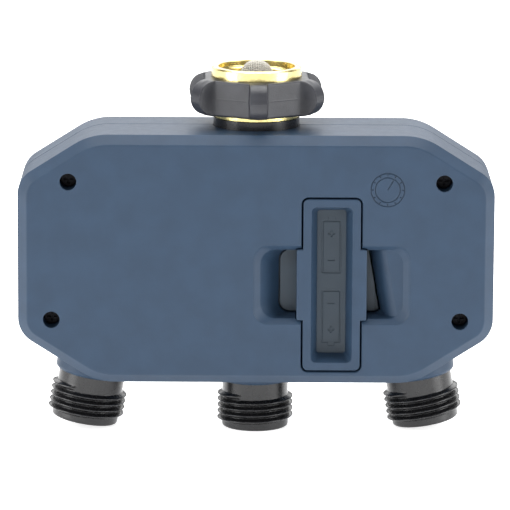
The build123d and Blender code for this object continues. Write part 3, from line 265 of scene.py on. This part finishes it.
def moulded(name, colour, roughness, grain, depth, edge, mottle=0.05, gloss=0.5):
    """Moulded plastic with a fine spark-eroded grain."""
    finish = Finish(name, roughness)
    finish.fix("Specular IOR Level", gloss)
    finish.soften(edge)
    tones = spread(linear(*colour), mottle)
    finish.link(finish.ramp(finish.noise(COLOUR_PATCH, 3.0), tones), "Base Color")
    dullness = greys(roughness - 0.05, roughness + 0.05)
    finish.link(finish.ramp(finish.noise(grain * ROUGH_PATCH), dullness), "Roughness")
    finish.bump(finish.noise(grain, 2.5, 0.6), depth)
    return finish.done()


def metal(name, colour, roughness, grain=0.5, depth=0.01, edge=0.15, stretch=(1, 1, 1)):
    """Bright metal with a slight change of tone and a fine tool grain."""
    finish = Finish(name, roughness, metallic=1.0)
    finish.soften(edge)
    tones = spread(linear(*colour), 0.08)
    finish.link(finish.ramp(finish.noise(3.0, 3.0), tones), "Base Color")
    dullness = greys(roughness - 0.06, roughness + 0.1)
    patches = finish.noise(1.0, 3.0, 0.5, stretch)
    finish.link(finish.ramp(patches, dullness), "Roughness")
    finish.bump(finish.noise(grain, 2.0, 0.5, stretch), depth)
    return finish.done()


def clear(name):
    """Clear moulded window, faintly wavy."""
    finish = Finish(name, 0.05)
    finish.fix("Transmission Weight", 1.0)
    finish.fix("IOR", 1.49)
    finish.fix("Base Color", (0.9, 0.95, 0.95, 1))
    finish.bump(finish.noise(6.0), 0.01, strength=0.2)
    return finish.done()


def make_materials():
    made = {slot: moulded(slot, *row) for slot, row in PLASTICS.items()}
    made.update({slot: metal(slot, *row) for slot, row in METALS.items()})
    made["lens_clear"] = clear("lens_clear")
    return made


# ---------------------------------------------------------------- surfaces
def turned(radii, angles, levels):
    """Points round Z: radius r at angle a and level z is (r cos a, r sin a, z)."""
    radii = np.broadcast_to(radii, (len(levels), len(angles)))
    heights = np.broadcast_to(levels[:, None], radii.shape)
    return np.stack([radii * np.cos(angles), radii * np.sin(angles), heights], axis=-1)


def surface(name, points, slot, body, looped=False, sharp=40.0):
    """A mesh over a grid of points in millimetres, rows by columns.

    Each row closes on itself, and when looped the last row joins the first.
    """
    rows, columns = points.shape[:2]
    index = np.arange(rows * columns).reshape(rows, columns)
    lower = index if looped else index[:-1]
    upper = np.roll(index, -1, axis=0) if looped else index[1:]
    corners = [lower, np.roll(lower, -1, axis=1), np.roll(upper, -1, axis=1), upper]
    faces = np.stack(corners, axis=-1).reshape(-1, 4)
    return add_piece(name, points, faces, slot, body, sharp)


def add_piece(name, points, faces, slot, body, sharp):
    mesh = bpy.data.meshes.new(name)
    mesh.from_pydata((points.reshape(-1, 3) * MM).tolist(), [], faces.tolist())
    mesh.validate()
    mesh.polygons.foreach_set("use_smooth", [True] * len(mesh.polygons))
    mesh.set_sharp_from_angle(angle=math.radians(sharp))
    mesh.materials.append(materials[slot])
    piece = bpy.data.objects.new(name, mesh)
    bpy.context.scene.collection.objects.link(piece)
    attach(piece, body)
    return piece


def smooth_low(a, b, k):
    """The lower of a and b, rounded over k where they cross."""
    blend = np.clip(0.5 + 0.5 * (b - a) / k, 0, 1)
    return b * (1 - blend) + a * blend - k * blend * (1 - blend)


def smooth_high(a, b, k):
    """The higher of a and b, rounded over k where they cross."""
    return -smooth_low(-a, -b, k)


# ---------------------------------------------------------------- hand nut
NUT_TOP, NUT_LOW, NUT_BORE, NUT_EDGE = -3.6, -16.2, 16.0, 0.8
NUT_APOTHEM, LOBE_HALF, LOBE_CENTRE, LOBE_ROUND = 18.35, 3.05, 19.4, 6.3
LOBE_TURN = math.radians(31.8)
LOBE_COUNT = 6
LOBE_DRAFT, LOBE_SHORT, LOBE_END_BLEND, LOBE_ROOT_BLEND = 0.02, 0.15, 1.6, 2.3
LOBE_STEPS = ((0.0, 5.5, 0.9), (5.5, 11.5, 0.16), (11.5, 30.0, 1.4))  # degrees off a lobe
NUT_LEVELS, MOULD_LINE, MOULD_LINE_HALF = 61, 0.07, 0.15
FLANK_LIMIT, LEAST_SINE = 60.0, 1e-3


def make_nut():
    """The grip ring: a hexagon with six half-round lobes on its corners, in polar form.

    The hexagon is r = apothem / cos(angle from the flat). A lobe is the lower of
    half width / sin(d) and reach / cos(d), d off its middle, with
    reach = centre + sqrt(R^2 - z^2). The two are joined with a rounded root.
    """
    sector_turn = FULL_TURN / LOBE_COUNT
    near = np.radians(np.concatenate([np.arange(*step) for step in LOBE_STEPS]))
    sector = np.concatenate([-near[:0:-1], near])
    off = np.tile(sector, LOBE_COUNT)
    angles = off + LOBE_TURN + np.repeat(sector_turn * np.arange(LOBE_COUNT), len(sector))
    middle, half = (NUT_TOP + NUT_LOW) / 2, (NUT_TOP - NUT_LOW) / 2
    levels = middle + half * np.cos(np.linspace(0.0, math.pi, NUT_LEVELS))
    levels = np.sort(np.concatenate([levels, middle + np.array([-0.3, -0.12, 0.12, 0.3])]))[::-1]

    height = levels[:, None]
    rise = np.abs(height - middle)
    edge = np.clip(np.minimum(NUT_TOP - height, height - NUT_LOW), 0, NUT_EDGE)
    inset = NUT_EDGE - np.sqrt(np.maximum(NUT_EDGE**2 - (NUT_EDGE - edge) ** 2, 0.0))
    flat = NUT_APOTHEM / np.cos(sector_turn / 2 - np.abs(off))
    reach = LOBE_CENTRE + np.sqrt(np.maximum(LOBE_ROUND**2 - rise**2, 0.0)) - LOBE_SHORT
    width = LOBE_HALF + LOBE_DRAFT * (LOBE_ROUND - rise)
    flank = np.minimum(width / np.maximum(np.abs(np.sin(off)), LEAST_SINE), FLANK_LIMIT)
    lobe = smooth_low(reach / np.cos(off), flank, LOBE_END_BLEND)
    radii = smooth_high(flat, lobe, LOBE_ROOT_BLEND) - inset
    radii = radii + np.where(rise < MOULD_LINE_HALF, MOULD_LINE, 0.0)

    bore = np.full_like(radii[0], NUT_BORE)
    top, low = (bore + radii[0]) / 2, (bore + radii[-1]) / 2
    radii = np.vstack([bore, top, radii, low, bore])
    levels = np.concatenate([[NUT_TOP, NUT_TOP], levels, [NUT_LOW, NUT_LOW]])
    points = turned(radii, angles, levels)
    piece = surface("grip_ring", points[::-1], "grip_grey", "swivel", looped=True)
    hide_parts("hand_nut")


# ---------------------------------------------------------------- threaded outlets
PITCH, CREST, ROOT, BORE = 2.209, 13.5, 11.83, 8.2
THREAD_START, THREAD_TURNS, THREAD_PHASE = 2.6, 4.346, math.radians(105.0)
THREAD_LAPS = range(-1, 6)
TOOTH_HALF, TOOTH_SLOPE, TOOTH_ROUND = 1.02, 0.86, 0.35
RUN_IN, RUN_OUT, OVERRUN = 0.5, 0.6, (0.25, 0.3)
OUTLET_COLUMNS, THREAD_LEVELS, OUTLET_SHARP = 216, np.arange(1.2, 13.9, 0.115), 50.0
# radius and height of the plain parts: the bore, the rounded end, then the neck and flange
OUTLET_END = [(BORE, 30.95), (BORE, 18.0), (BORE, 6.0), (BORE, 0.5), (BORE + 0.15, 0.15)]
OUTLET_END += [(BORE + 0.5, 0.0), (10.9, 0.0), (11.35, 0.08), (11.65, 0.3), (11.8, 0.6)]
OUTLET_END += [(ROOT, 0.95)]
OUTLET_NECK = [(ROOT, 14.1), (ROOT, 16.0), (ROOT, 20.0), (ROOT, 28.5), (13.6, 28.5), (13.6, 30.95)]
OUTLETS = {  # name: x and z of its end, tilt in degrees
    "left": ((-61.3, -127.9), -10.0),
    "centre": ((0.0, -130.15), 0.0),
    "right": ((61.3, -127.9), 10.0),
}


def thread_height(angle, height):
    """How far the ridge stands out: a steep tooth about the helix z = z0 + pitch * t / 2 pi."""
    start = np.mod(angle - THREAD_PHASE, FULL_TURN)
    end = FULL_TURN * THREAD_TURNS
    best = np.zeros(np.broadcast_shapes(angle.shape, height.shape))
    for lap in THREAD_LAPS:
        along = start + FULL_TURN * lap
        gap = np.abs(height - (THREAD_START + PITCH * along / FULL_TURN))
        tooth = np.clip((TOOTH_HALF - gap) / TOOTH_SLOPE, 0, 1)
        eased = tooth * tooth * (3 - 2 * tooth)
        tooth = eased * TOOTH_ROUND + tooth * (1 - TOOTH_ROUND)
        fade_in = np.clip((along + OVERRUN[0]) / RUN_IN, 0, 1)
        fade_out = np.clip((end + OVERRUN[1] - along) / RUN_OUT, 0, 1)
        best = np.maximum(best, tooth * fade_in * fade_out)
    return best * (CREST - ROOT)


def make_outlet(name):
    """A hose spigot in polar form, r = root + thread_height(angle, height), with its bore."""
    (x, z), tilt = OUTLETS[name]
    lean = math.radians(tilt)
    axes = np.array(
        [[math.cos(lean), 0, math.sin(lean)], [0, 1, 0], [-math.sin(lean), 0, math.cos(lean)]]
    )
    angles = np.linspace(0, FULL_TURN, OUTLET_COLUMNS, endpoint=False)
    (end_radii, end_levels), (neck_radii, neck_levels) = (
        np.array(profile).T for profile in (OUTLET_END, OUTLET_NECK)
    )
    threaded = ROOT + thread_height(angles[None, :], THREAD_LEVELS[:, None])
    plain = np.ones_like(angles)
    radii = np.vstack([np.outer(end_radii, plain), threaded, np.outer(neck_radii, plain)])
    levels = np.concatenate([end_levels, THREAD_LEVELS, neck_levels])
    points = turned(radii, angles, levels) @ axes + np.array([x, 0.0, z])
    piece = surface(
        "spigot_" + name, points, "thread_black", "case", looped=True, sharp=OUTLET_SHARP
    )
    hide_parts("outlet_" + name)


# ---------------------------------------------------------------- woven screen
SCREEN_R, SCREEN_TOP, SCREEN_LOW = 5.9, 2.0, -8.5
DOME_CENTRE = SCREEN_TOP - SCREEN_R
WIRE_PITCH, WIRE_RADIUS, WEAVE, WIRE_SIDES, WIRE_STEPS = 0.62, 0.13, 0.11, 6, 78
WIRES_EACH_SIDE = 9
WIRE_TAIL = -4.4  # how far the straight ends go below the dome's centre
LEAST_LIFT = 0.25
CUP_INSET, CUP_COLUMNS, CUP_ROWS, CUP_START, CUP_POLE = 0.25, 64, 16, 0.08, 0.02


def make_screen():
    """Woven wire: each wire follows a half circle of the dome and rises and dips by a cosine.

    A wire at offset s has ring radius sqrt(R^2 - s^2), and is a tube of WIRE_SIDES corners.
    """
    spots = (np.arange(-WIRES_EACH_SIDE, WIRES_EACH_SIDE + 1) * WIRE_PITCH)[:, None]
    ring = np.sqrt(SCREEN_R**2 - spots**2)
    turn = np.linspace(-math.pi / 2, math.pi / 2, WIRE_STEPS)[None, :]
    around = FULL_TURN * np.arange(WIRE_SIDES)[:, None] / WIRE_SIDES
    tubes = []
    for way, side in enumerate(np.array([[0.0, 1.0, 0.0], [1.0, 0.0, 0.0]])):
        run, rise = ring * np.sin(turn), ring * np.cos(turn)
        phase = math.pi * (np.arange(len(spots))[:, None] + way)
        lift = WEAVE * np.cos(math.pi * run / WIRE_PITCH + phase)
        run = run * (1 + lift / SCREEN_R)
        rise = rise + lift * np.maximum(np.cos(turn), LEAST_LIFT)
        tail = np.full_like(spots, WIRE_TAIL)
        run = np.hstack([run[:, :1], run, run[:, -1:]])
        rise = np.hstack([tail, rise, tail]) + DOME_CENTRE
        path = np.stack([run, np.broadcast_to(spots, run.shape), rise], axis=-1)
        if way:
            path = path[..., [1, 0, 2]]
        ahead = np.gradient(path, axis=1)
        ahead /= np.linalg.norm(ahead, axis=-1, keepdims=True)
        over = np.cross(ahead, side)[:, :, None]
        corner = np.cos(around) * side + np.sin(around) * over
        tubes.append(path[:, :, None] + WIRE_RADIUS * corner)
    points = np.concatenate(tubes)
    index = np.arange(points[..., 0].size).reshape(points.shape[:3])
    beside = np.roll(index, -1, axis=2)
    quads = [index[:, :-1], beside[:, :-1], beside[:, 1:], index[:, 1:]]
    faces = np.stack(quads, axis=-1).reshape(-1, 4)
    piece = add_piece("woven_screen", points, faces, "mesh_steel", "filter", 180.0)
    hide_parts("filter_screen")


def make_shade_cup():
    """A black cup just inside the wires, painted shade for the dark hollow seen between them: a
    half sphere on a straight wall, turned about Z.
    """
    angles = np.linspace(0, FULL_TURN, CUP_COLUMNS, endpoint=False)
    inner = SCREEN_R - CUP_INSET
    rise = np.linspace(CUP_START, math.pi / 2, CUP_ROWS)
    dome = np.maximum(inner * np.cos(rise), CUP_POLE)
    radii = np.concatenate([[inner, inner], dome])
    levels = np.concatenate([[SCREEN_LOW, DOME_CENTRE], DOME_CENTRE + inner * np.sin(rise)])
    points = turned(radii[:, None], angles, levels)
    surface("shade_cup", points, "rubber_black", "filter", sharp=180.0)


# ---------------------------------------------------------------- making
place_camera()
studio()
materials = make_materials()
slot_of = {item["node"]: item["material_slot"] for item in frame["record"]["subparts"]}
for node, piece in frame["nodes"].items():
    for slot in piece.material_slots:
        slot.material = materials[slot_of[node]]

make_nut()
for outlet in OUTLETS:
    make_outlet(outlet)
make_screen()
make_shade_cup()
